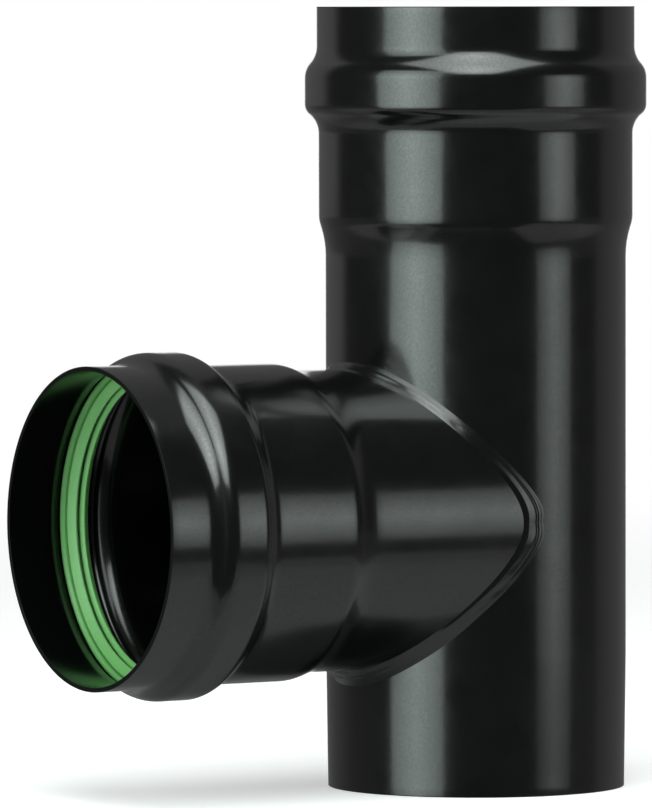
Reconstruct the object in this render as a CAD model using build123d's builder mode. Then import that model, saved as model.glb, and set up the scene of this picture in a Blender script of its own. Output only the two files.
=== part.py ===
# Stove pipe tee for 80 mm pipe: one-wall enamelled steel, push-fit sockets with silicone rings.
# Millimetres, +Z up the run. The origin is the centre of the run's plain end, and the branch points along +X.
from build123d import *
import os

# the pipe that the tee takes, and its own tubes
pipe_od = 80.0
wall = 1.2
run_swell = 0.2  # the run's tube is this much larger in radius than the nominal pipe
spigot_relief = 0.25  # and its plain end this much smaller, to go into the next socket
run_height = 208.5
branch_height = 72.5
branch_reach = 120.5
spigot_length = 20.0
spigot_taper = 8.0
rim_round = 0.4

# the socket, the same on the run and on the branch, named from its mouth inwards
mouth_play = 1.3
mouth_length = 12.9
bead_rise = 3.7
bead_front = 3.6
bead_crest = 11.15
bead_back = 3.05
socket_play = 0.8
seat_length = 26.2
shoulder_length = 5.1
bead_root_round = 5.0
bead_crest_round = 4.0
shoulder_top_round = 9.0
shoulder_foot_round = 20.0
spigot_round = 40.0

# the joint between the branch and the run
weld_gap = 1.3
weld_leg = 2.2
weld_rise = 3.0
weld_sink = 0.2

# the silicone ring in a socket's bead
ring_play = 0.3  # radial, to the inside of the bead
ring_front_gap = 0.5
ring_width = 7.6
ring_shoulder = 0.7
lip_root_play = 1.8  # radial, from the pipe that goes in to the foot of the lips
main_lip_bite = 0.7  # how far a lip's tip reaches into that pipe's outside
rear_lip_bite = 0.4
main_lip_start = 1.3  # from the ring's front
lip_pitch = 3.1
lip_tip = 0.8
lip_flare = 0.4
main_lip_lean = 1.3
rear_lip_lean = 0.9
notch_depth = 0.5

pipe_r = pipe_od / 2
run_r = pipe_r + run_swell
spigot_r = pipe_r - spigot_relief
branch_bore_r = pipe_r - wall
mouth_r = pipe_r + mouth_play + wall
socket_r = pipe_r + socket_play + wall
crest_r = socket_r + bead_rise
ring_start = mouth_length + bead_front + ring_front_gap

branch_axis = Axis((0, 0, branch_height), (1, 0, 0))
branch_side = Plane(origin=(0, 0, branch_height), x_dir=(0, 0, 1), z_dir=(0, 1, 0))
branch_face = Plane(origin=(0, 0, branch_height), x_dir=(0, 1, 0), z_dir=(1, 0, 0))


def socket_corners(body_r, mouth_station):
    """The outside of the sheet from the shoulder to the mouth: its corners, and the round at each but the last."""
    bead_foot = mouth_station - mouth_length
    crest_end = bead_foot - bead_front
    crest_start = crest_end - bead_crest
    seat_end = crest_start - bead_back
    seat_start = seat_end - seat_length
    corners = [
        (body_r, seat_start - shoulder_length),
        (socket_r, seat_start),
        (socket_r, seat_end),
        (crest_r, crest_start),
        (crest_r, crest_end),
        (mouth_r, bead_foot),
        (mouth_r, mouth_station),
    ]
    rounds = [
        shoulder_foot_round,
        shoulder_top_round,
        bead_root_round,
        bead_crest_round,
        bead_crest_round,
        bead_root_round,
    ]
    return corners, rounds


def run_corners():
    """The run's outside from its plain end to its mouth: its corners, and the rounds between them."""
    corners, rounds = socket_corners(run_r, run_height)
    plain_end = [
        (spigot_r, 0),
        (spigot_r, spigot_length),
        (run_r, spigot_length + spigot_taper),
    ]
    return [*plain_end, *corners], [spigot_round, spigot_round, *rounds]


def run_filled(growth):
    """The run as a body without a bore, with its outside that much larger in radius."""
    corners, rounds = run_corners()
    with BuildPart() as filled:
        with BuildSketch(Plane.XZ):
            with BuildLine():
                outside = FilletPolyline(*[(radius + growth, z) for radius, z in corners], radius=rounds)
                Polyline(outside @ 1, (0, run_height), (0, 0), outside @ 0)
            make_face()
        revolve(axis=Axis.Z)
    return filled.part


def ring_points(mouth_station):
    """The silicone ring's section as (radius, station), from its shoulder round to the notch beside it."""
    back_r = crest_r - wall - ring_play
    root_r = pipe_r + lip_root_play
    main_r = pipe_r - main_lip_bite
    rear_r = pipe_r - rear_lip_bite
    main_root = ring_start + main_lip_start
    main_tip = main_root + main_lip_lean
    rear_root = main_root + lip_pitch
    rear_tip = rear_root + rear_lip_lean
    section = [
        (back_r - ring_shoulder, ring_start),
        (back_r, ring_start + ring_shoulder),
        (back_r, ring_start + ring_width),
        (root_r, ring_start + ring_width),
        (root_r, rear_tip + lip_tip + lip_flare),
        (rear_r, rear_tip + lip_tip),
        (rear_r, rear_tip),
        (root_r, rear_root),
        (root_r, main_tip + lip_tip + lip_flare),
        (main_r, main_tip + lip_tip),
        (main_r, main_tip),
        (root_r, main_root),
        (root_r + notch_depth, main_root + notch_depth),
        (root_r + 2 * notch_depth, ring_start + ring_shoulder),
    ]
    return [(radius, mouth_station - depth) for radius, depth in section]


# the run: one tube from its plain end to its socket, with the hole for the branch in its side
with BuildPart() as run_pipe:
    with BuildSketch(Plane.XZ):
        with BuildLine():
            corners, rounds = run_corners()
            FilletPolyline(*corners, radius=rounds)
            offset(amount=wall, side=Side.LEFT)
        make_face()
    revolve(axis=Axis.Z)
    rims = run_pipe.faces().filter_by(GeomType.PLANE).edges()
    fillet(rims, radius=rim_round)
    with BuildSketch(branch_face):
        Circle(branch_bore_r)
    extrude(amount=crest_r, mode=Mode.SUBTRACT)
run_pipe.part.label = "run_pipe"

# the branch: the same tube and socket, with its inner end cut to stand off the run by the weld's gap
with BuildPart() as branch_pipe:
    with BuildSketch(branch_side):
        with BuildLine():
            corners, rounds = socket_corners(pipe_r, branch_reach)
            FilletPolyline((pipe_r, 0), *corners, radius=rounds)
            offset(amount=wall, side=Side.LEFT)
        make_face()
    revolve(axis=branch_axis)
    fillet(branch_pipe.faces().sort_by(Axis.X)[-1].edges(), radius=rim_round)
    add(run_filled(weld_gap), mode=Mode.SUBTRACT)
branch_pipe.part.label = "branch_pipe"

# the weld: it fills the gap at the branch's end and stands proud in the corner,
# most at the top and bottom of the saddle and least at its two sides, where the pipes run nearly level
with BuildPart() as weld_seam:
    with BuildSketch(branch_face):
        Ellipse(pipe_r - weld_sink, pipe_r + weld_rise)
        Circle(branch_bore_r, mode=Mode.SUBTRACT)
    extrude(amount=crest_r)
    add(run_filled(weld_leg), mode=Mode.INTERSECT)
    add(run_filled(0), mode=Mode.SUBTRACT)
    add(branch_pipe.part, mode=Mode.SUBTRACT)
weld_seam.part.label = "weld_seam"

# a silicone ring in each bead, with two lips that lean inwards and grip the pipe that is pushed in
with BuildPart() as branch_gasket:
    with BuildSketch(branch_side):
        with BuildLine():
            Polyline(*ring_points(branch_reach), close=True)
        make_face()
    revolve(axis=branch_axis)
branch_gasket.part.label = "branch_gasket"

with BuildPart() as top_gasket:
    with BuildSketch(Plane.XZ):
        with BuildLine():
            Polyline(*ring_points(run_height), close=True)
        make_face()
    revolve(axis=Axis.Z)
top_gasket.part.label = "top_gasket"

os.makedirs("parts", exist_ok=True)
export_step(run_pipe.part, "parts/run_pipe.step")
export_step(branch_pipe.part, "parts/branch_pipe.step")
export_step(weld_seam.part, "parts/weld_seam.step")
export_step(branch_gasket.part, "parts/branch_gasket.step")
export_step(top_gasket.part, "parts/top_gasket.step")
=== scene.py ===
# %% [markdown]
# A stove pipe tee in black enamelled steel, standing on a pale floor.
# The measured model is loaded first and stays where it is: every piece made here is fitted round it,
# in metres, with +Z up the run and the branch along +X.

# %% Load the measured model
import math

import bmesh
import bpy
from mathutils import Matrix, Vector, noise


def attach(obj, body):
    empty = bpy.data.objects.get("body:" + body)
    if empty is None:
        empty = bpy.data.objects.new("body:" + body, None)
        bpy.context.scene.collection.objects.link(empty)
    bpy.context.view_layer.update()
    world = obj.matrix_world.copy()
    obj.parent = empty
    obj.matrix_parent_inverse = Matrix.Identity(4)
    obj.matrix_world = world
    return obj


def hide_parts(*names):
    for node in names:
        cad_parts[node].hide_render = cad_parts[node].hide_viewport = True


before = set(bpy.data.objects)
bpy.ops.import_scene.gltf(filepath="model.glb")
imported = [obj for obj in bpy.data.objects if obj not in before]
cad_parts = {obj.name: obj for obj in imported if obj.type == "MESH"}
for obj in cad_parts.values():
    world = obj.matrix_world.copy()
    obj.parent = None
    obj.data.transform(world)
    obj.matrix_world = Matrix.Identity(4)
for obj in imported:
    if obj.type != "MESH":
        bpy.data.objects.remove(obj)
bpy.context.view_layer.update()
MM = 0.001

# %% [markdown]
# The camera. The picture was taken from far away with a long lens, level with the tee's top rim,
# so the rim shows as a straight line and the tubes hardly narrow with distance.
# Its place was found by fitting the tubes' outlines, and is given as a bearing, a distance and a height.

# %% Camera
CAMERA_BEARING = math.radians(146.848)
CAMERA_DISTANCE = 2307.585 * MM
CAMERA_HEIGHT = 208.0 * MM
CAMERA_YAW = math.radians(-0.996)
CAMERA_PITCH_DOWN = math.radians(2.625)
CAMERA_ROLL = math.radians(-0.088)
PICTURE_HEIGHT = 808
FOCAL_PIXELS = 8625.065
SENSOR = 36.0


def turned(first, second, angle):
    """Two directions at right angles, turned together in their own plane."""
    return (
        first * math.cos(angle) + second * math.sin(angle),
        second * math.cos(angle) - first * math.sin(angle),
    )


to_camera = Vector((math.sin(CAMERA_BEARING), -math.cos(CAMERA_BEARING), 0))
to_right = Vector((math.cos(CAMERA_BEARING), math.sin(CAMERA_BEARING), 0))
upwards = Vector((0, 0, 1))
look, aside = turned(-to_camera, to_right, CAMERA_YAW)
look, top = turned(look, upwards, -CAMERA_PITCH_DOWN)
aside, top = turned(aside, top, CAMERA_ROLL)
camera_data = bpy.data.cameras.new("camera")
camera_data.sensor_width = SENSOR
camera_data.lens = FOCAL_PIXELS * SENSOR / PICTURE_HEIGHT
camera_data.clip_end = 100
camera = bpy.data.objects.new("camera", camera_data)
bpy.context.scene.collection.objects.link(camera)
camera.matrix_world = (
    Matrix.Translation(to_camera * CAMERA_DISTANCE + upwards * CAMERA_HEIGHT)
    @ Matrix((aside, top, -look)).transposed().to_4x4()
)
bpy.context.scene.camera = camera
bpy.context.scene.view_settings.view_transform = "Standard"
print("camera lens", round(camera_data.lens, 1), "mm")

# %% [markdown]
# Node helpers. A material or a world is a small graph of nodes, and these keep each graph readable:
# one adds a node with its settings and joins it to what feeds it, and the others are for sums that come
# back often, such as a value that rises between two limits.

# %% Node helpers


def add_node(tree, kind, inputs=None, **settings):
    """A node of that kind, its settings set and its inputs given a value or a socket to join."""
    node = tree.nodes.new(kind)
    for name, value in settings.items():
        setattr(node, name, value)
    for key, value in (inputs or {}).items():
        if isinstance(value, bpy.types.NodeSocket):
            tree.links.new(value, node.inputs[key])
        else:
            node.inputs[key].default_value = value
    return node


def fresh_material(name):
    """An empty node material and its tree."""
    material = bpy.data.materials.new(name)
    material.use_nodes = True
    material.node_tree.nodes.clear()
    return material, material.node_tree


def ramp(tree, value, start, end, low=0.0, high=1.0, soft=True):
    """A value that goes from low to high while another goes from start to end, with soft or with hard ends."""
    limits = {"Value": value, "From Min": start, "From Max": end, "To Min": low, "To Max": high}
    kind = "SMOOTHSTEP" if soft else "LINEAR"
    return add_node(tree, "ShaderNodeMapRange", limits, interpolation_type=kind).outputs[0]


def blend(tree, share, first, second):
    """A value that is the first where the share is 0, and the second where it is 1."""
    return add_node(tree, "ShaderNodeMix", {0: share, 2: first, 3: second}, data_type="FLOAT").outputs[0]


def maths(tree, operation, first, second):
    """The result of one operation on two values."""
    return add_node(tree, "ShaderNodeMath", {0: first, 1: second}, operation=operation).outputs[0]


def ray_kinds(tree):
    """What kind of ray asks, and a value that is 1 for rays that look at a thing straight or through glass."""
    rays = add_node(tree, "ShaderNodeLightPath").outputs
    return rays, maths(tree, "MAXIMUM", rays["Is Camera Ray"], rays["Is Transmission Ray"])


# %% [markdown]
# The studio. Glossy black shows little of its own colour and mostly what stands round it, so the
# surroundings matter as much as the paint. They could be card panels or a picture. Here the world works
# them out from the direction of each ray, because every edge then stays soft and every level is one number.
# A direction is known by its height and by the cosines of its angles to a few fixed directions.

# %% Directions in the studio


def cosine_to(tree, direction, way):
    """The cosine of the angle between two directions."""
    product = add_node(tree, "ShaderNodeVectorMath", {0: direction, 1: way}, operation="DOT_PRODUCT")
    return product.outputs["Value"]


world = bpy.data.worlds.new("studio")
world.use_nodes = True
bpy.context.scene.world = world
tree = world.node_tree
tree.nodes.clear()
direction = add_node(tree, "ShaderNodeTexCoord").outputs["Generated"]
height = add_node(tree, "ShaderNodeSeparateXYZ", {0: direction}).outputs["Z"]
behind = cosine_to(tree, direction, -to_camera)
rightwards = cosine_to(tree, direction, to_right)
level_part = add_node(tree, "ShaderNodeVectorMath", {0: direction, 1: (1, 1, 0)}, operation="MULTIPLY")
level_way = add_node(tree, "ShaderNodeVectorMath", {0: level_part.outputs[0]}, operation="NORMALIZE")
facing = cosine_to(tree, level_way.outputs[0], to_camera)
print("straight behind the tee:", [round(part, 3) for part in -to_camera])

# %% [markdown]
# The walls. The gloss sees a dim room in front, and behind the tee a pale wall on each side with a low
# skirting under it. The walls show as grey bands down both edges of the tubes. Panels could give the
# same bands, but a ramp over a cosine was chosen, because its two limits move a band's edge directly.

# %% Walls of the room
ROOM_FRONT = 0.05
WALL_LEFT = 0.215
WALL_LEFT_RISE = (0.41, 0.60)  # the cosines to straight behind between which the left wall begins
WALL_RIGHT = 0.15
WALL_RIGHT_RISE = (0.16, 0.34)
WALL_BACK = 0.11  # what both walls dim to, straight behind
WALL_DIMMING = (0.62, 0.95)
SIDES_EDGE = 0.2  # the cosine to the right over which the left half turns into the right half
SKIRTING = 0.105  # the low part of the room, beside the tee and behind it
SKIRTING_RISE = (-0.45, -0.05)  # the cosines to straight behind between which it gets paler
SKIRTING_TOP = -0.05  # the sine of the height angle where it starts
SKIRTING_EDGE = 0.03


def wall_level(level, rise):
    """The gloss of a pale wall: it begins as the direction turns behind the tee, and dims straight behind."""
    rising = ramp(tree, behind, *rise, ROOM_FRONT, level)
    dimming = ramp(tree, behind, *WALL_DIMMING, 1.0, WALL_BACK / level, soft=False)
    return maths(tree, "MULTIPLY", rising, dimming)


low_down = ramp(tree, height, SKIRTING_TOP, SKIRTING_TOP - SKIRTING_EDGE)
skirting = ramp(tree, behind, *SKIRTING_RISE, ROOM_FRONT, SKIRTING, soft=False)
wall_left = blend(tree, low_down, wall_level(WALL_LEFT, WALL_LEFT_RISE), skirting)
low_right = maths(tree, "MULTIPLY", low_down, skirting)
wall_right = maths(tree, "MAXIMUM", wall_level(WALL_RIGHT, WALL_RIGHT_RISE), low_right)
on_the_right = ramp(tree, rightwards, -SIDES_EDGE, SIDES_EDGE)
room = blend(tree, on_the_right, wall_left, wall_right)
print("room", ROOM_FRONT, "walls", WALL_LEFT, WALL_RIGHT, "straight behind", WALL_BACK)

# %% [markdown]
# The ground. A pale studio floor far below the table shows in the lower curves of the tubes. It could be
# a second plane, but as a level in the world it looks the same from every part of the tee. It is darker
# behind the tee, and in front, where the camera stands, it starts lower down.

# %% Ground of the room
GROUND = 0.32
GROUND_BEHIND = 0.13
GROUND_BEHIND_RISE = (-0.6, -0.05)  # the cosines to the camera's direction between which it gets paler
GROUND_TOP = -0.30  # the sine of the height angle where the pale ground starts
GROUND_TOP_FRONT = -0.58  # and where it starts in front, below the camera
GROUND_EDGE = 0.05
GROUND_DARK_FRONT = 0.80  # the cosine of the bearing up to which the front reaches
GROUND_FRONT_EDGE = 0.12

front_start, front_end = GROUND_DARK_FRONT - GROUND_FRONT_EDGE, GROUND_DARK_FRONT + GROUND_FRONT_EDGE
ground_top = ramp(tree, facing, front_start, front_end, GROUND_TOP, GROUND_TOP_FRONT)
lit_ground = ramp(tree, maths(tree, "SUBTRACT", ground_top, height), 0.0, GROUND_EDGE)
ground = ramp(tree, facing, *GROUND_BEHIND_RISE, GROUND_BEHIND, GROUND, soft=False)
room_and_ground = blend(tree, lit_ground, room, ground)
print("ground", GROUND, "and behind the tee", GROUND_BEHIND)

# %% [markdown]
# What each ray sees. On a white page a product stands free, so the camera sees plain white. Brighter lamps
# could whiten the page too, but they would change the tee. The Light Path node tells rays apart instead:
# glossy ones see the room, the ground and a white sweep straight behind, and the rest meet an even grey.

# %% What each ray sees
ROOM_FILL = 0.35  # the room's own light on the tee
SWEEP_HALF_ANGLE = math.radians(7)
SWEEP_EDGE = math.radians(5)

sweep = ramp(tree, behind, math.cos(SWEEP_HALF_ANGLE + SWEEP_EDGE), math.cos(SWEEP_HALF_ANGLE))
rays, looked_at = ray_kinds(tree)
seen_in_gloss = blend(tree, sweep, room_and_ground, 1.0)
indirect = blend(tree, rays["Is Glossy Ray"], ROOM_FILL, seen_in_gloss)
strength = blend(tree, looked_at, indirect, 1.0)
background = add_node(tree, "ShaderNodeBackground", {"Color": (1, 1, 1, 1), "Strength": strength})
output = add_node(tree, "ShaderNodeOutputWorld")
tree.links.new(background.outputs[0], output.inputs["Surface"])
print("world:", len(tree.nodes), "nodes")

# %% [markdown]
# The tee stands on a pale floor that fades into the white behind it. A plain white page could do without
# a floor, but then nothing would show where the tee stands, so a large disc takes its soft shadow.
# In the gloss it is darker, with a painted shadow under the branch: a dark spot where the tee keeps its own
# light away.

# %% Floor
FLOOR_RADIUS = 6.0
FLOOR_SIDES = 96
FLOOR_SINK = 0.05 * MM  # it lies this far under the foot, so that no two faces share a plane
FLOOR_COLOUR = 0.80
FLOOR_LIFT = 0.4  # what brings the lit floor up to the white behind it, for rays that look at it
FLOOR_FADE = (0.45, 1.4)  # the distances between which it turns white
TABLE_IN_GLOSS = 0.35  # its colour for glossy rays
PAINTED_SHADOW_MIDDLE = (31 * MM, 9 * MM, 0)  # the middle of a painted shadow on the table under the branch, seen only in the gloss
PAINTED_SHADOW_RADIUS = 36 * MM
PAINTED_SHADOW_EDGE = 5 * MM
PAINTED_SHADOW_IN_GLOSS = 0.08

bpy.ops.mesh.primitive_circle_add(
    vertices=FLOOR_SIDES, radius=FLOOR_RADIUS, fill_type="NGON", location=(0, 0, -FLOOR_SINK)
)
floor = bpy.context.object
floor.name = "floor"
floor_material, tree = fresh_material("pale_floor")
rays, looked_at = ray_kinds(tree)
place = add_node(tree, "ShaderNodeTexCoord").outputs["Object"]
away = add_node(tree, "ShaderNodeVectorMath", {0: place}, operation="LENGTH").outputs["Value"]
from_painted_shadow = add_node(tree, "ShaderNodeVectorMath", {0: place, 1: PAINTED_SHADOW_MIDDLE}, operation="DISTANCE")
far = ramp(tree, away, *FLOOR_FADE)
painted_shadow_start, painted_shadow_end = PAINTED_SHADOW_RADIUS - PAINTED_SHADOW_EDGE, PAINTED_SHADOW_RADIUS + PAINTED_SHADOW_EDGE
from_painted_shadow = from_painted_shadow.outputs["Value"]
# Painted shadow: round the spot's middle, the table's colour in the gloss falls to near black.
table_and_painted_shadow_in_gloss = ramp(tree, from_painted_shadow, painted_shadow_start, painted_shadow_end, PAINTED_SHADOW_IN_GLOSS, TABLE_IN_GLOSS)
tone = blend(tree, rays["Is Glossy Ray"], FLOOR_COLOUR, table_and_painted_shadow_in_gloss)
matt = add_node(tree, "ShaderNodeBsdfDiffuse", {"Color": tone})
glow = add_node(tree, "ShaderNodeEmission", {"Strength": maths(tree, "MULTIPLY", looked_at, FLOOR_LIFT)})
near_floor = add_node(tree, "ShaderNodeAddShader", {0: matt.outputs[0], 1: glow.outputs[0]})
white = add_node(tree, "ShaderNodeEmission", {"Strength": 1.0})
far_seen = maths(tree, "MULTIPLY", far, looked_at)
seen = add_node(tree, "ShaderNodeMixShader", {0: far_seen, 1: near_floor.outputs[0], 2: white.outputs[0]})

print("floor radius", FLOOR_RADIUS, "m, dark spot radius", PAINTED_SHADOW_RADIUS, "m")

# %% [markdown]
# The table. Only a small round of the floor shows in the gloss, as a small raised table does, and beyond it
# glossy rays and lamp light pass through, so the soft boxes mirror in the tubes right down to the foot.
# The disc could be cut small, but its shadow would end at the cut, so these rays alone meet a clear shader.

# %% The table's edge
TABLE_RADIUS = 0.16
TABLE_EDGE = 0.02
SHALLOW = (0.58, 0.80)  # how slanted a ray is where the table begins to let it through, and where it does

off_table = ramp(tree, away, TABLE_RADIUS - TABLE_EDGE, TABLE_RADIUS)
slant = add_node(tree, "ShaderNodeLayerWeight", {"Blend": 0.5}).outputs["Facing"]
open_there = maths(tree, "MAXIMUM", off_table, ramp(tree, slant, *SHALLOW))
glossy_or_shadow = maths(tree, "MAXIMUM", rays["Is Glossy Ray"], rays["Is Shadow Ray"])
let_through = maths(tree, "MULTIPLY", open_there, glossy_or_shadow)
clear = add_node(tree, "ShaderNodeBsdfTransparent")
mixed = add_node(tree, "ShaderNodeMixShader", {0: let_through, 1: seen.outputs[0], 2: clear.outputs[0]})
output = add_node(tree, "ShaderNodeOutputMaterial")
tree.links.new(mixed.outputs[0], output.inputs["Surface"])
floor.data.materials.append(floor_material)
print("table radius", TABLE_RADIUS, "m")

# %% [markdown]
# A soft box is a lamp behind a white cloth, and it is brightest in its middle. A plain area lamp would light
# the tee as well, but the enamel shows the lamp's shape, so nodes on it make it fade towards its edges.

# %% A soft box
CLOTH_TINT = (0.90, 1.0, 0.965)
CLOTH_HALF = 0.5  # a lamp's cloth is measured from 0 to 1, so its edges lie this far from its middle


def soft_box(name, centre, towards, width, height, brightness, fall_off, rim, tint=CLOTH_TINT):
    """A rectangular lamp at the centre that faces a point. From its middle to each edge its brightness falls
    evenly by the share called fall_off, and over the last share of the way, called rim, to nothing."""
    lamp = bpy.data.lights.new(name, "AREA")
    lamp.shape = "RECTANGLE"
    lamp.size, lamp.size_y = width, height
    lamp.energy = brightness * math.pi * width * height
    lamp.color = tint
    lamp.use_nodes = True
    tree = lamp.node_tree
    tree.nodes.clear()
    on_cloth = add_node(tree, "ShaderNodeNewGeometry").outputs["Parametric"]
    middle = (CLOTH_HALF, CLOTH_HALF, 0)
    off = add_node(tree, "ShaderNodeVectorMath", {0: on_cloth, 1: middle}, operation="SUBTRACT")
    off = add_node(tree, "ShaderNodeVectorMath", {0: off.outputs[0]}, operation="ABSOLUTE")
    off = add_node(tree, "ShaderNodeSeparateXYZ", {0: off.outputs[0]})
    parts = []
    for side in ("X", "Y"):
        parts.append(ramp(tree, off.outputs[side], 0.0, CLOTH_HALF, 1.0, 1.0 - fall_off, soft=False))
        parts.append(ramp(tree, off.outputs[side], CLOTH_HALF, CLOTH_HALF * (1 - rim)))
    fall = parts[0]
    for part in parts[1:]:
        fall = maths(tree, "MULTIPLY", fall, part)
    cloth = add_node(tree, "ShaderNodeEmission", {"Strength": fall})
    out = add_node(tree, "ShaderNodeOutputLight")
    tree.links.new(cloth.outputs[0], out.inputs["Surface"])
    box = bpy.data.objects.new(name, lamp)
    bpy.context.scene.collection.objects.link(box)
    box.location = centre
    box.rotation_mode = "QUATERNION"
    box.rotation_quaternion = (centre - towards).to_track_quat("Z", "Y")
    box.visible_camera = False
    print(name, "energy", round(lamp.energy, 2), "W")
    return box


# %% [markdown]
# Three soft boxes: a tall one to the left, a small one to the right, and a long panel overhead
# that reaches out over the camera. Each shows in the enamel as a strip with soft edges. They could be placed
# by their coordinates, but a bearing from the camera's direction moves a strip round a tube by one number.

# %% Three soft boxes
STUDIO_CENTRE = Vector((0.02, 0, 0.1))
BOX_REACH = 1.6
PANEL_HEIGHT = 1.2
PANEL_FORWARD = 1.22
CLOTH_TINT_LEFT = (0.85, 1.0, 0.95)


def in_studio(bearing, height_angle, reach):
    """The point that far from the tee, with its bearing in degrees from the camera's direction to the right."""
    bearing, height_angle = math.radians(bearing), math.radians(height_angle)
    level = to_camera * math.cos(bearing) + to_right * math.sin(bearing)
    return STUDIO_CENTRE + (level * math.cos(height_angle) + upwards * math.sin(height_angle)) * reach


soft_box(
    "box_left",
    in_studio(-46.2, 11, BOX_REACH),
    STUDIO_CENTRE,
    width=1.43,
    height=1.95,
    brightness=4.15,
    fall_off=0.55,
    rim=0.12,
    tint=CLOTH_TINT_LEFT,
)
soft_box(
    "box_right",
    in_studio(62.5, 4.0, BOX_REACH),
    STUDIO_CENTRE,
    width=0.95,
    height=0.96,
    brightness=1.88,
    fall_off=0.75,
    rim=0.2,
)
panel_centre = STUDIO_CENTRE + to_camera * PANEL_FORWARD + upwards * PANEL_HEIGHT
panel = soft_box(
    "panel_top",
    panel_centre,
    panel_centre - upwards,
    width=1.3,
    height=2.84,
    brightness=5.4,
    fall_off=0.5,
    rim=0.15,
)
panel.rotation_quaternion = Matrix((to_right, -to_camera, upwards)).transposed().to_quaternion()

# %% [markdown]
# Rounded outlines. Sheet and rubber have no sharp corners, so an outline here is a list of corners with a
# radius for each. A bevel on a curve could round them, but this helper also gives the outward direction at
# every point, and the inside of a sheet needs that. Lengths are in millimetres, as (radius, station along
# the tube).

# %% Rounded outlines
STRAIGHT_STEP = 2.5  # the longest step along a straight stretch
ROUND_STEP = math.radians(5)  # and the longest turn in one step of a round


def rounded(corners, rounds, closed=False):
    """Points and outward normals along a line of corners, each corner rounded to its radius.
    Corners go with the solid on their left, and an open line keeps its two ends sharp."""
    points = [Vector(corner) for corner in corners]
    count = len(points)
    path = []

    def lay(point, along):
        path.append((point, Vector((along.y, -along.x))))

    for i, corner in enumerate(points):
        if not closed and i in (0, count - 1):
            along = (points[1] - points[0]) if i == 0 else (points[-1] - points[-2])
            lay(corner, along.normalized())
            continue
        arrive = (corner - points[i - 1]).normalized()
        leave = (points[(i + 1) % count] - corner).normalized()
        turn = math.atan2(arrive.x * leave.y - arrive.y * leave.x, arrive.dot(leave))
        radius = rounds[i]
        cut = radius * math.tan(abs(turn) / 2)
        start = corner - arrive * cut
        side = Vector((-arrive.y, arrive.x)) * (1 if turn > 0 else -1)
        centre = start + side * radius
        steps = max(2, math.ceil(abs(turn) / ROUND_STEP))
        for k in range(steps + 1):
            angle = turn * k / steps
            spoke = Matrix.Rotation(angle, 2) @ (-side)
            along = Matrix.Rotation(angle, 2) @ arrive
            lay(centre + spoke * radius, along)
    filled = []
    ends = path + path[:1] if closed else path
    for (point, normal), (following, _) in zip(ends, ends[1:]):
        filled.append((point, normal))
        gap = (following - point).length
        extra = int(gap // STRAIGHT_STEP)
        filled += [(point.lerp(following, k / (extra + 1)), normal) for k in range(1, extra + 1)]
    if not closed:
        filled.append(path[-1])
    return filled


# %% [markdown]
# The sheet's section. Both tubes are one sheet, 1.2 mm thick. A surface could be thickened with Solidify,
# but here the line of the outside is drawn and the inside follows at the sheet's thickness, because
# the closed section then also holds the small rounds of the cut ends.

# %% Section of the sheet
WALL = 1.2
RIM_ROUND = 0.2
RIM_STEPS = 6


def rim(radius, station, way):
    """The rounded edge at a tube's end, from its outside to its inside; way is +1 for the far end."""
    outer = Vector((radius - RIM_ROUND, station - way * RIM_ROUND))
    inner = Vector((radius - WALL + RIM_ROUND, station - way * RIM_ROUND))
    angles = [math.radians(90 * k / RIM_STEPS) for k in range(RIM_STEPS + 1)]
    first = [outer + Vector((math.cos(a), way * math.sin(a))) * RIM_ROUND for a in angles]
    second = [inner + Vector((-math.sin(a), way * math.cos(a))) * RIM_ROUND for a in angles]
    return first + second


def sheet_section(corners, rounds, round_start):
    """The closed section of a sheet from the corners of its outside: out along it, and back inside."""
    (start_radius, start_station), (end_radius, end_station) = corners[0], corners[-1]
    ends = [(start_radius, start_station + (RIM_ROUND if round_start else 0))]
    ends += corners[1:-1] + [(end_radius, end_station - RIM_ROUND)]
    outside = rounded(ends, [0] + rounds + [0])
    there = [point for point, normal in outside]
    back = [point - normal * WALL for point, normal in reversed(outside)]
    section = there + rim(end_radius, end_station, 1)[1:-1] + back
    if round_start:
        section += rim(start_radius, start_station, -1)[::-1][1:-1]
    return section


# %% [markdown]
# The two tubes end in the same push-fit socket, rolled out of the tube: a soft shoulder, a long seat,
# a bead that holds the ring, and a mouth. It could be drawn twice, but one function draws it from the tube's
# radius and the mouth's station, so both sockets stay alike. The run also has its plain end, a little
# narrower, to go into the next socket.

# %% Outlines of the two tubes
PIPE_RADIUS = 40.0
RUN_RADIUS = 40.2
RUN_HEIGHT = 208.5
BRANCH_HEIGHT = 72.5
BRANCH_REACH = 120.5
SPIGOT_RADIUS = 39.75
SPIGOT_SWELL = 0.05  # the plain end widens by this over its first SPIGOT_LENGTH
SPIGOT_LENGTH = 5
TAPER_END = 36  # where the run has reached its own radius
TAPER_ROUND = 200
SEAT_RADIUS = 42.0
BEAD_RADIUS = 45.7
MOUTH_RADIUS = 42.5
SHOULDER_FOOT = 62.5  # the socket's corners, counted inwards from its mouth
SEAT_START = 56.9
SEAT_END = 30.8
CREST_START = 27.65
CREST_END = 16.75
BEAD_FOOT = 13.05
SOCKET_ROUNDS = [9, 6.5, 3.5, 6, 6.8]  # the radii from SEAT_START to BEAD_FOOT
RUN_FOOT_ROUND = 26
BRANCH_FOOT_ROUND = 20


def socket(body_radius, foot_round, mouth):
    """The push-fit socket up to its mouth: the corners of its outside, and the rounds of all but the last."""
    corners = [
        (body_radius, mouth - SHOULDER_FOOT),
        (SEAT_RADIUS, mouth - SEAT_START),
        (SEAT_RADIUS, mouth - SEAT_END),
        (BEAD_RADIUS, mouth - CREST_START),
        (BEAD_RADIUS, mouth - CREST_END),
        (MOUTH_RADIUS, mouth - BEAD_FOOT),
        (MOUTH_RADIUS, mouth),
    ]
    return corners, [foot_round] + SOCKET_ROUNDS


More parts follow.
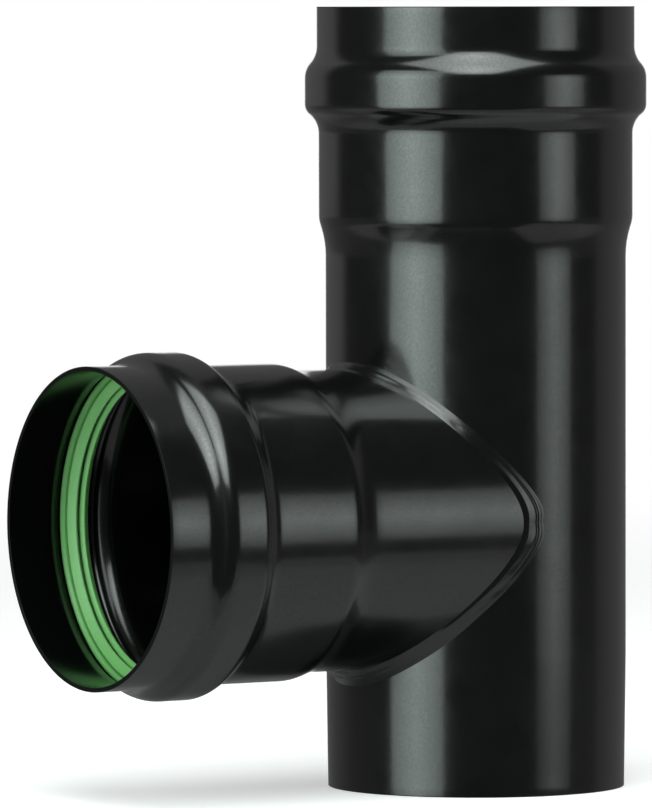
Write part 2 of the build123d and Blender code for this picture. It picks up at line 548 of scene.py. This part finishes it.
run_corners, run_rounds = socket(RUN_RADIUS, RUN_FOOT_ROUND, RUN_HEIGHT)
plain_end = [(SPIGOT_RADIUS, 0), (SPIGOT_RADIUS + SPIGOT_SWELL, SPIGOT_LENGTH), (RUN_RADIUS, TAPER_END)]
run_section = sheet_section(plain_end + run_corners, [TAPER_ROUND, TAPER_ROUND] + run_rounds, True)
branch_corners, branch_rounds = socket(PIPE_RADIUS, BRANCH_FOOT_ROUND, BRANCH_REACH)
branch_section = sheet_section([(PIPE_RADIUS, 0)] + branch_corners, branch_rounds, False)
print("section points: run", len(run_section), "branch", len(branch_section))

# %% [markdown]
# Tubes and rings are round, so one node tree makes them all. These helpers start such a tree, choose
# between two shapes in it, and turn its result into a plain mesh. The modifier could stay on each piece, but
# a plain mesh can be measured and marked face by face afterwards.

# %% Geometry helpers


def new_tree(name, sockets):
    """A geometry node tree with a geometry in and out and the named inputs, and the sockets of its two ends."""
    tree = bpy.data.node_groups.new(name, "GeometryNodeTree")
    tree.interface.new_socket("Geometry", in_out="INPUT", socket_type="NodeSocketGeometry")
    tree.interface.new_socket("Geometry", in_out="OUTPUT", socket_type="NodeSocketGeometry")
    for label, kind in sockets:
        tree.interface.new_socket(label, in_out="INPUT", socket_type=kind)
    return tree, add_node(tree, "NodeGroupInput").outputs, add_node(tree, "NodeGroupOutput").inputs


def chosen(tree, switch, if_not, if_so):
    """One of two geometries, by a yes or no."""
    choices = {"Switch": switch, "False": if_not, "True": if_so}
    return add_node(tree, "GeometryNodeSwitch", choices, input_type="GEOMETRY").outputs[0]


def made_real(piece, tree, values):
    """Runs a tree on a piece as a modifier with those values, and gives the result as a plain mesh object."""
    modifier = piece.modifiers.new(tree.name, "NODES")
    modifier.node_group = tree
    for item in tree.interface.items_tree:
        if item.in_out == "INPUT" and item.name in values:
            modifier[item.identifier] = values[item.name]
    evaluated = piece.evaluated_get(bpy.context.evaluated_depsgraph_get())
    mesh = bpy.data.meshes.new_from_object(evaluated)
    piece.modifiers.clear()
    name = piece.name
    bpy.data.objects.remove(piece)
    made = bpy.data.objects.new(name, mesh)
    mesh.name = name
    bpy.context.scene.collection.objects.link(made)
    return made


# %% [markdown]
# The sweep. The sheet is formed against a spinning roller, and here its section is swept round a circle in
# the same way. A Screw modifier could turn it too, but in one tree the later steps can fit the pieces to each
# other. The tree then leaves the piece upright or lays it along the branch, and lifts it to its height.

# %% Sweep and place
GUIDE_RADIUS = 40.0  # a turned section is drawn from this radius
TURN_STEPS = 256
LAY_DOWN = (0, math.radians(90), 0)  # turns an upright piece until it lies along +X

turning, given, result = new_tree(
    "turned_round_an_axis",
    [
        ("Steps", "NodeSocketInt"),
        ("Guide Radius", "NodeSocketFloat"),
        ("Height", "NodeSocketFloat"),
        ("Lies Along X", "NodeSocketBool"),
        ("Hole", "NodeSocketBool"),
        ("Hole Radius", "NodeSocketFloat"),
        ("Hole Height", "NodeSocketFloat"),
        ("Meets Run", "NodeSocketBool"),
        ("Run Radius", "NodeSocketFloat"),
        ("Slide Length", "NodeSocketFloat"),
        ("Material", "NodeSocketMaterial"),
    ],
)
circle = add_node(
    turning, "GeometryNodeCurvePrimitiveCircle", {"Resolution": given["Steps"], "Radius": given["Guide Radius"]}
)
swept = add_node(
    turning, "GeometryNodeCurveToMesh", {"Curve": circle.outputs["Curve"], "Profile Curve": given["Geometry"]}
).outputs["Mesh"]
laid = add_node(turning, "GeometryNodeTransform", {"Geometry": swept, "Rotation": LAY_DOWN}).outputs["Geometry"]
turned_how = chosen(turning, given["Lies Along X"], swept, laid)
lift_up = add_node(turning, "ShaderNodeCombineXYZ", {"Z": given["Height"]}).outputs[0]
raised = add_node(
    turning, "GeometryNodeTransform", {"Geometry": turned_how, "Translation": lift_up}
).outputs["Geometry"]

print("sweep:", TURN_STEPS, "steps round a guide of", GUIDE_RADIUS, "mm")

# %% [markdown]
# The branch's inner end follows the round side of the run. It could be cut with a Boolean, but that leaves
# ragged faces in a thin sheet. Instead every point near the end slides along the branch, until the end itself
# lies on a cylinder just outside the run. Pythagoras gives how far out that is at each point's offset.

# %% Inner end of the branch
where = add_node(turning, "GeometryNodeInputPosition").outputs[0]
apart = add_node(turning, "ShaderNodeSeparateXYZ", {0: where}).outputs
across_squared = maths(turning, "MULTIPLY", apart["Y"], apart["Y"])
run_squared = maths(turning, "MULTIPLY", given["Run Radius"], given["Run Radius"])
room_left = maths(turning, "SUBTRACT", run_squared, across_squared)
meeting = add_node(turning, "ShaderNodeMath", {0: room_left}, operation="SQRT").outputs[0]
share = ramp(turning, apart["X"], 0.0, given["Slide Length"], meeting, given["Slide Length"], soft=False)
slid = maths(turning, "MAXIMUM", share, apart["X"])
new_place = add_node(turning, "ShaderNodeCombineXYZ", {"X": slid, "Y": apart["Y"], "Z": apart["Z"]}).outputs[0]
near_end = add_node(
    turning,
    "FunctionNodeCompare",
    {0: apart["X"], 1: given["Slide Length"]},
    data_type="FLOAT",
    operation="LESS_THAN",
).outputs[0]
met = add_node(
    turning, "GeometryNodeSetPosition", {"Geometry": raised, "Selection": near_end, "Position": new_place}
).outputs["Geometry"]
fitted = chosen(turning, given["Meets Run"], raised, met)

print("inner end: tree has", len(turning.nodes), "nodes")

# %% [markdown]
# The run has a hole in its side where the branch opens. It runs across the rows of the sheet, so sliding
# points wouldn't do, and a Boolean takes a cylinder away instead. The exact solver keeps the edge clean.

# %% Hole in the run
DRILL_LENGTH = 60.0
DRILL_MIDDLE = 40.0

drill = add_node(
    turning,
    "GeometryNodeMeshCylinder",
    {"Vertices": given["Steps"], "Radius": given["Hole Radius"], "Depth": DRILL_LENGTH * MM},
).outputs["Mesh"]
drill_middle = {"X": DRILL_MIDDLE * MM, "Z": given["Hole Height"]}
drill_place = add_node(turning, "ShaderNodeCombineXYZ", drill_middle).outputs[0]
drill_laid = add_node(
    turning, "GeometryNodeTransform", {"Geometry": drill, "Rotation": LAY_DOWN, "Translation": drill_place}
).outputs["Geometry"]
drilled = add_node(turning, "GeometryNodeMeshBoolean", operation="DIFFERENCE", solver="EXACT")
turning.links.new(fitted, drilled.inputs["Mesh 1"])
turning.links.new(drill_laid, drilled.inputs["Mesh 2"])
pierced = chosen(turning, given["Hole"], fitted, drilled.outputs["Mesh"])
smooth = add_node(turning, "GeometryNodeSetShadeSmooth", {"Geometry": pierced, "Shade Smooth": True}).outputs[0]
real = add_node(turning, "GeometryNodeRealizeInstances", {"Geometry": smooth}).outputs[0]
coated = add_node(turning, "GeometryNodeSetMaterial", {"Geometry": real, "Material": given["Material"]})
turning.links.new(coated.outputs[0], result["Geometry"])
print("hole: drill", DRILL_LENGTH, "mm long")

# %% [markdown]
# From section to piece. One helper draws a section as a closed curve, runs the tree on it and checks the
# mesh for open edges. Each piece could have its own code, but they differ only in a few of the tree's inputs,
# so the rest are given once as plain values.

# %% From section to piece
BORE_RADIUS = PIPE_RADIUS - WALL
BRANCH_CUT_RADIUS = 41.5  # the branch's inner end stands off the run by the weld's gap
SLIDE_LENGTH = 50.0  # how far out the branch's wall moves with its inner end
SHARP_EDGE = math.radians(35)  # an edge that turns more than this stays sharp


def turned_piece(name, section, material, **values):
    """Turns a closed section, in millimetres as (radius, station), round its axis into a named piece."""
    curve = bpy.data.curves.new(name, "CURVE")
    curve.dimensions = "2D"
    curve.fill_mode = "NONE"
    spline = curve.splines.new("POLY")
    spline.points.add(len(section) - 1)
    for point, (radius, station) in zip(spline.points, section):
        point.co = ((radius - GUIDE_RADIUS) * MM, -station * MM, 0, 1)
    spline.use_cyclic_u = True
    drawing = bpy.data.objects.new(name, curve)
    bpy.context.scene.collection.objects.link(drawing)
    plain = {
        "Steps": TURN_STEPS,
        "Guide Radius": GUIDE_RADIUS * MM,
        "Height": 0.0,
        "Lies Along X": False,
        "Hole": False,
        "Hole Radius": BORE_RADIUS * MM,
        "Hole Height": BRANCH_HEIGHT * MM,
        "Meets Run": False,
        "Run Radius": BRANCH_CUT_RADIUS * MM,
        "Slide Length": SLIDE_LENGTH * MM,
        "Material": material,
    }
    made = made_real(drawing, turning, plain | values)
    made.data.set_sharp_from_angle(angle=SHARP_EDGE)
    shell = bmesh.new()
    shell.from_mesh(made.data)
    loose = sum(1 for edge in shell.edges if len(edge.link_faces) != 2)
    volume = shell.calc_volume(signed=True) / MM**3
    shell.free()
    print(name, len(made.data.polygons), "faces", round(volume), "mm3", "open edges", loose)
    return made


# %% [markdown]
# The enamel is black glass fused onto the steel in a kiln. It could be one glossy layer, but real enamel
# shows a deep base under a clear skin, so it is a base layer under a coat. Both have a faint orange peel and
# long shallow waves that make reflections waver, and a fine grain of dust takes a little shine away. In the
# tubes' mouths and on their cut ends it is thin and duller, and has no coat.

# %% Black enamel
ENAMEL_BASE = (0.0012, 0.0014, 0.0013, 1)
ENAMEL_SPECK = (0.0040, 0.0044, 0.0042, 1)
SPECKS = (0.60, 0.75)  # the dust's values between which a speck turns from base to pale
GLASS_IOR = 1.5
COAT_ROUGHNESS = (0.09, 0.14)
COAT_WEIGHT = (0.88, 1.0)
OUTSIDE_ROUGHNESS = (0.19, 0.26)  # of the layer under the coat
OUTSIDE_SHINE = (0.42, 0.60)  # its specular level
INSIDE_ROUGHNESS = (0.15, 0.21)
INSIDE_SHINE = 0.36  # the specular level in the mouth
DULL_EDGE = 0.55  # the roughness of cut ends and of the beads' hollow flanks
DULL_SHINE = 0.2  # and their specular level
PEEL_SIZE = 1.0 * MM
PEEL_DEPTH = 0.005 * MM
WAVE_SIZE = 22 * MM
WAVE_DEPTH = 0.10 * MM
CLOUD_SIZE = 9 * MM
DUST_SIZE = 0.5 * MM
USUAL_NOISE = (0.3, 0.7)  # the range that most of a noise's values lie in


def noise_at(tree, place, feature_size, detail=2.0, roughness=0.5):
    """A noise value with features of that size, in metres."""
    settings = {"Vector": place, "Scale": 1 / feature_size, "Detail": detail, "Roughness": roughness}
    return add_node(tree, "ShaderNodeTexNoise", settings).outputs["Fac"]


def spread(tree, value, low, high):
    """A noise value stretched from its usual range to low and high."""
    return ramp(tree, value, *USUAL_NOISE, low, high, soft=False)


def tinted(tree, share, first, second):
    """A colour that is the first where the share is 0, and the second where it is 1."""
    return add_node(tree, "ShaderNodeMix", {0: share, 6: first, 7: second}, data_type="RGBA").outputs[2]


enamel, tree = fresh_material("black_enamel")
place = add_node(tree, "ShaderNodeTexCoord").outputs["Object"]
marked = add_node(tree, "ShaderNodeAttribute", attribute_name="inside").outputs["Fac"]
inside = maths(tree, "MINIMUM", marked, 1.0)
outside = maths(tree, "SUBTRACT", 1.0, inside)
dull = maths(tree, "SUBTRACT", marked, inside)
waves = noise_at(tree, place, WAVE_SIZE, detail=1.0)
peel = noise_at(tree, place, PEEL_SIZE, detail=2.5, roughness=0.55)
cloudy = noise_at(tree, place, CLOUD_SIZE, detail=4.0, roughness=0.6)
dust = noise_at(tree, place, DUST_SIZE, detail=2.0)
wavy = add_node(tree, "ShaderNodeBump", {"Strength": 1.0, "Distance": WAVE_DEPTH, "Height": waves})
skin = add_node(
    tree, "ShaderNodeBump", {"Strength": 1.0, "Distance": PEEL_DEPTH, "Height": peel, "Normal": wavy.outputs[0]}
).outputs[0]
outside_gloss = spread(tree, cloudy, *OUTSIDE_ROUGHNESS)
inside_gloss = spread(tree, cloudy, *INSIDE_ROUGHNESS)
under_gloss = blend(tree, dull, blend(tree, inside, outside_gloss, inside_gloss), DULL_EDGE)
outside_shine = spread(tree, dust, *OUTSIDE_SHINE)
shine = blend(tree, dull, blend(tree, inside, outside_shine, INSIDE_SHINE), DULL_SHINE)
shader = add_node(
    tree,
    "ShaderNodeBsdfPrincipled",
    {
        "Base Color": tinted(tree, ramp(tree, dust, *SPECKS, soft=False), ENAMEL_BASE, ENAMEL_SPECK),
        "Roughness": under_gloss,
        "IOR": GLASS_IOR,
        "Specular IOR Level": shine,
        "Coat Weight": maths(tree, "MULTIPLY", outside, spread(tree, dust, *COAT_WEIGHT)),
        "Coat Roughness": spread(tree, cloudy, *COAT_ROUGHNESS),
        "Coat IOR": GLASS_IOR,
        "Normal": skin,
        "Coat Normal": skin,
    },
)
output = add_node(tree, "ShaderNodeOutputMaterial")
tree.links.new(shader.outputs[0], output.inputs["Surface"])

print("enamel:", len(tree.nodes), "nodes")

# %% [markdown]
# The silicone of the rings is satin green rubber that lets a little light in. A plain colour would do from
# far away, but near by its soft glow and the fine grain of its mould show, so it has some subsurface
# scattering and a noise that drives both its roughness and a bump.

# %% Green silicone
SILICONE_DEEP = (0.128, 0.388, 0.104, 1)
SILICONE_PALE = (0.168, 0.445, 0.142, 1)
SILICONE_ROUGHNESS = (0.38, 0.52)
MOULD_GRAIN_SIZE = 0.8 * MM
MOULD_GRAIN_DEPTH = 0.01 * MM
SILICONE_CLOUD_SIZE = 12 * MM

silicone, tree = fresh_material("green_silicone")
place = add_node(tree, "ShaderNodeTexCoord").outputs["Object"]
grain = noise_at(tree, place, MOULD_GRAIN_SIZE, detail=3.0)
clouds = noise_at(tree, place, SILICONE_CLOUD_SIZE, detail=2.0)
grained = add_node(tree, "ShaderNodeBump", {"Strength": 1.0, "Distance": MOULD_GRAIN_DEPTH, "Height": grain})
shader = add_node(
    tree,
    "ShaderNodeBsdfPrincipled",
    {
        "Base Color": tinted(tree, clouds, SILICONE_DEEP, SILICONE_PALE),
        "Roughness": spread(tree, grain, *SILICONE_ROUGHNESS),
        "IOR": 1.42,
        "Specular IOR Level": 1.0,
        "Subsurface Weight": 0.15,
        "Subsurface Radius": (0.6, 1.0, 0.5),
        "Subsurface Scale": 0.8 * MM,
        "Normal": grained.outputs[0],
    },
)
output = add_node(tree, "ShaderNodeOutputMaterial")
tree.links.new(shader.outputs[0], output.inputs["Surface"])
print("silicone:", len(tree.nodes), "nodes")

# %% [markdown]
# The run and the branch are turned from the sheet's section. Their enamel is thinner inside and on the cut
# ends. Two materials could show that, but one material that reads a mark on each face keeps the coat in one
# place, so every face that looks inwards or sits on a cut end is marked here.

# %% The two tubes
INSIDE_TURN = 0.45  # a face that turns outwards by less than this cosine is inside
FLANK_TURN = -0.85  # and one that doesn't turn inwards by this much is a flank or a cut end
MOUTH_ZONE = 20.0  # how far in from the mouth the coat is thin
DEEP_INSIDE = 0.4  # further in it is thicker again


def mark_inside(tube, along_x, length):
    """Marks a tube's faces for its finish: 0 outside, 1 in the mouth, 2 on its cut ends and on the flank
    in front of the ring, and a share of 1 deep inside."""
    marks = tube.data.attributes.new("inside", "FLOAT", "FACE")
    for mark, face in zip(marks.data, tube.data.polygons):
        x, y, z = face.center
        station = x if along_x else z
        outwards = Vector((0, y, z - BRANCH_HEIGHT * MM)) if along_x else Vector((x, y, 0))
        turn = face.normal.dot(outwards.normalized())
        near_end = station > (length - MOUTH_ZONE) * MM or station < RIM_ROUND * MM
        if turn < INSIDE_TURN and near_end:
            mark.value = 2.0 if turn > FLANK_TURN else 1.0
        elif turn < INSIDE_TURN:
            mark.value = DEEP_INSIDE
        if station > (length - RIM_ROUND) * MM:
            mark.value = 2.0
    print(tube.name, "faces inside", sum(1 for mark in marks.data if mark.value))


lies_as_branch = {"Height": BRANCH_HEIGHT * MM, "Lies Along X": True}
run = turned_piece("run_tube", run_section[::-1], enamel, Hole=True)
mark_inside(run, False, RUN_HEIGHT)
branch = turned_piece("branch_tube", branch_section[::-1], enamel, **lies_as_branch, **{"Meets Run": True})
mark_inside(branch, True, BRANCH_REACH)

# %% [markdown]
# A silicone ring sits in each bead. From the mouth inwards it has a shoulder, a fine notch, a broad main lip
# and a narrower rear lip with a dark gap between them, and both lips lean inwards to grip the pipe that
# is pushed in. A torus would fill the bead, but the bands of light and dark come from the lips, so the ring
# is turned from its own section. It is listed from its front shoulder round the back, as (radius, depth in
# the mouth).

# %% Sealing rings
ring_corners = [
    (43.6, 16.9),
    (44.2, 17.6),
    (44.2, 24.6),
    (41.8, 24.6),
    (41.8, 23.1),
    (38.95, 22.1),
    (38.9, 21.6),
    (40.15, 20.95),
    (42.5, 21.8),
    (42.5, 20.2),
    (39.6, 19.9),
    (39.6, 19.5),
    (41.9, 18.15),
    (42.9, 19.4),
    (42.6, 17.85),
    (43.0, 17.0),
]
# the radius at each of those corners
ring_rounds = [0.2, 0.3, 0.3, 0.2, 0.3, 0.2, 0.2, 0.25, 0.3, 0.3, 0.12, 0.12, 0.1, 0.1, 0.12, 0.2]


def ring_section(mouth):
    """A silicone ring's section as (radius, station), with its soft corners."""
    corners = [(radius, mouth - depth) for radius, depth in ring_corners]
    return [point for point, normal in rounded(corners, ring_rounds, closed=True)]


branch_ring = turned_piece("branch_ring", ring_section(BRANCH_REACH), silicone, **lies_as_branch)
top_ring = turned_piece("top_ring", ring_section(RUN_HEIGHT), silicone)

# %% [markdown]
# The weld closes the corner between the branch and the run under the enamel. A swept curve could be laid
# there, but its section changes all the way round, so it is made of short sections, each from the branch's
# end to its toe on the run. These small functions shape them: soft steps, zones and humps.

# %% Shaping helpers


def smooth_step(low, high, value):
    """0 up to low, 1 from high on, and a soft rise between them."""
    share = min(1.0, max(0.0, (value - low) / (high - low)))
    return share * share * (3 - 2 * share)


def zone(value, start, full_from, full_to, end):
    """1 between the middle two limits, with a soft fall to 0 at the outer two."""
    return smooth_step(start, full_from, value) * (1 - smooth_step(full_to, end, value))


def bump(value, centre, width):
    """A soft hump of height 1 round the centre."""
    return math.exp(-(((value - centre) / width) ** 2))


def humps(value, marks):
    """Soft humps added up, each given as its height, centre and width."""
    return sum(rise * bump(value, centre, width) for rise, centre, width in marks)


def mix(low, high, share):
    """The value at that share of the way from low to high."""
    return low + (high - low) * share


# %% [markdown]
# One section of the weld. At the two sides a dark valley and a fine groove show where the bead was dressed,
# on top it is smooth with faint lines, and underneath it is fuller, with one small fold near its lowest
# point. A painted texture could draw these lines, but real relief also bends the reflections beside them.

# %% A section of the weld
WELD_STEPS = 60
CUT_LAP = 0.1  # how far the weld starts outside the branch's cut end
SKIN_GAP = 0.02  # and how far its edges keep off the tubes' own faces
TOE_SINK = 0.3
TOE_AT_SIDE = 39.93  # the toe's distance from the branch's axis, and how much that grows and dips elsewhere
TOE_GROWTH_BELOW = 4.3
TOE_GROWTH_ABOVE = 2.7
TOE_DIP_ON_TOP = 0.9
TOE_DIP_RISE = (0.965, 0.998)  # the steepness between which the dip sets in
TOE_BEND_BELOW = 1.3
TOE_BEND_ABOVE = 1.2
TOE_WANDER = 0.10
TOE_STEADY = [(0.9, 0, 22)]  # it hardly wanders at the sides: by what share, at which degrees, how widely
# Where round the branch a mark shows, in degrees above its side: it begins, is full, is full still, and ends.
VALLEY_ZONE = (-48, -26, 15, 27)
GROOVE_ZONE = (-26, -6, 20, 32)
LINE_ZONE = (40, 50, 82, 88)
BELOW_RISE = (0, -70)  # and the degrees between which the weld gets fuller, and its underside sets in
UNDER_RISE = (-54, -66)
NARROWING = (-6, -44)  # the same for the valley's width
FOLD_DEGREES = -78  # the small fold near the lowest point, and its width
FOLD_WIDTH = 2.2
DIMPLE_DEGREES = 39.5  # the shallow dimple where the dressed sides end, and its width
DIMPLE_WIDTH = 2.6
VALLEY_DEPTH = 0.75
VALLEY_REST = 0.02  # what is left of the valley elsewhere
VALLEY_UNEVEN = 0.2
VALLEY_WIDTH = 0.34  # shares of the way from the branch to the toe
VALLEY_WIDTH_BELOW = 0.20
VALLEY_BEND = 1.2
CROWN = 0.04  # the height of the weld's arch, and how much higher it is underneath
CROWN_BELOW = 0.10
RIPPLE = 0.012  # the height of its unevenness, as a share of its length
UNEVEN_ROUND = 3.1  # how quickly the unevenness changes round the branch, from side to side, and in all
UNEVEN_SIDES = 2.3
UNEVEN_FINENESS = 1.7
LEAN_SHARE = 0.3  # over this first share of the way, the relief turns from off the branch to off both tubes
# Marks across the weld as (height, place, width), the last two as shares of the way from branch to toe.
SIDE_GROOVES = [(0.14, 0.71, 0.06), (0.04, 0.91, 0.03)]
TOP_LINES = [(0.03, 0.66, 0.035), (0.03, 0.79, 0.035), (0.03, 0.92, 0.035)]
UNDER_GROOVE = [(0.04, 0.48, 0.05)]
FOLD = [(0.18, 0.7, 0.2)]
DIMPLE = [(0.12, 0.35, 0.22)]


def on_round(distance, angle, radius):
    """The point at that distance and angle round the branch's axis, on a cylinder round the run's axis."""
    across = distance * math.cos(angle)
    return Vector((math.sqrt(radius**2 - across**2), across, BRANCH_HEIGHT + distance * math.sin(angle)))


def toe_distance(steep):
    """How far from the branch's axis the weld ends on the run; steep is -1 underneath and +1 on top."""
    if steep < 0:
        return TOE_AT_SIDE + TOE_GROWTH_BELOW * abs(steep) ** TOE_BEND_BELOW
    dip = TOE_DIP_ON_TOP * smooth_step(*TOE_DIP_RISE, steep)
    return TOE_AT_SIDE + TOE_GROWTH_ABOVE * steep**TOE_BEND_ABOVE - dip


def uneven(angle, side, step):
    """The unevenness of a hand-laid weld, different along it and on its two sides."""
    place = Vector((math.cos(angle) * UNEVEN_ROUND, math.sin(angle) * UNEVEN_ROUND, side * UNEVEN_SIDES + step))
    return noise.noise(place * UNEVEN_FINENESS)


def weld_row(angle):
    """One section of the weld: from the branch's end over the top to the toe, and back underneath."""
    steep = math.sin(angle)
    degrees = math.degrees(math.asin(steep))
    side = 1.0 if math.cos(angle) >= 0 else -1.0
    below = smooth_step(*BELOW_RISE, degrees)
    under = smooth_step(*UNDER_RISE, degrees)
    at_side = zone(degrees, *GROOVE_ZONE)
    on_top = zone(degrees, *LINE_ZONE)
    fold = under * bump(degrees, FOLD_DEGREES, FOLD_WIDTH)
    dimple = bump(degrees, DIMPLE_DEGREES, DIMPLE_WIDTH)
    depth = VALLEY_DEPTH * zone(degrees, *VALLEY_ZONE) + VALLEY_REST
    depth *= 1 + VALLEY_UNEVEN * uneven(angle, side, 0.0)
    width = mix(VALLEY_WIDTH, VALLEY_WIDTH_BELOW, smooth_step(*NARROWING, degrees))
    wander = TOE_WANDER * (1 - humps(degrees, TOE_STEADY)) * uneven(angle, side, 5.0)
    start = on_round(PIPE_RADIUS, angle, BRANCH_CUT_RADIUS + CUT_LAP)
    toe = on_round(toe_distance(steep) + wander, angle, RUN_RADIUS + SKIN_GAP)
    outwards = Vector((0, math.cos(angle), math.sin(angle)))
    off_run = Vector((toe.x, toe.y, 0)).normalized()
    middle = (outwards + off_run).normalized()
    length = (toe - start).length
    row = []
    for k in range(WELD_STEPS + 1):
        t = k / WELD_STEPS
        shape = (CROWN + CROWN_BELOW * below) * 4 * t * (1 - t)
        shape -= depth * max(0.0, 1 - t / width) ** VALLEY_BEND
        shape -= at_side * humps(t, SIDE_GROOVES) + under * humps(t, UNDER_GROOVE)
        shape -= fold * humps(t, FOLD) + dimple * humps(t, DIMPLE)
        shape += on_top * humps(t, TOP_LINES)
        shape += RIPPLE * length * uneven(angle * 2.0, side, t * 1.5) * math.sin(math.pi * t)
        way = outwards.lerp(middle, smooth_step(0.0, LEAN_SHARE, t))
        row.append(start.lerp(toe, t) + way * shape)
    row.append(toe - off_run * TOE_SINK)
    row.append(on_round(BORE_RADIUS + SKIN_GAP, angle, RUN_RADIUS - TOE_SINK))
    row.append(on_round(BORE_RADIUS + SKIN_GAP, angle, BRANCH_CUT_RADIUS + CUT_LAP))
    return row


# %% [markdown]
# The weld's mesh. The sections are joined row by row into a closed ring. Curve to Mesh could join equal
# sections, but these all differ, so the faces are listed one by one and turned outwards if they face in.

# %% The weld's mesh
WELD_STATIONS = 900
WELD_SHARP_EDGE = math.radians(40)

rows = [weld_row(2 * math.pi * k / WELD_STATIONS) for k in range(WELD_STATIONS)]
ring_size = len(rows[0])
corner_points = [point * MM for row in rows for point in row]
faces = []
for i in range(WELD_STATIONS):
    here, following = i * ring_size, (i + 1) % WELD_STATIONS * ring_size
    for j in range(ring_size):
        nxt = (j + 1) % ring_size
        faces.append((here + j, here + nxt, following + nxt, following + j))
mesh = bpy.data.meshes.new("weld_bead")
mesh.from_pydata(corner_points, [], faces)
shell = bmesh.new()
shell.from_mesh(mesh)
if shell.calc_volume(signed=True) < 0:
    bmesh.ops.reverse_faces(shell, faces=shell.faces)
print("weld volume", round(shell.calc_volume(signed=True) / MM**3), "mm3, faces", len(shell.faces))
shell.to_mesh(mesh)
shell.free()
mesh.shade_smooth()
mesh.set_sharp_from_angle(angle=WELD_SHARP_EDGE)
mesh.materials.append(enamel)
weld = bpy.data.objects.new("weld_bead", mesh)
bpy.context.scene.collection.objects.link(weld)

# %% [markdown]
# Every made piece now rides on the measured model and takes the place of its plain solid. That could be written
# piece by piece, but one short table shows at a glance which piece stands for which solid, and the finish it
# wears.

# %% Finish
for piece, node, finish in (
    (run, "run_pipe", "enamel"),
    (branch, "branch_pipe", "enamel"),
    (weld, "weld_seam", "enamel"),
    (branch_ring, "branch_gasket", "silicone"),
    (top_ring, "top_gasket", "silicone"),
):
    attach(piece, "root")
    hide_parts(node)
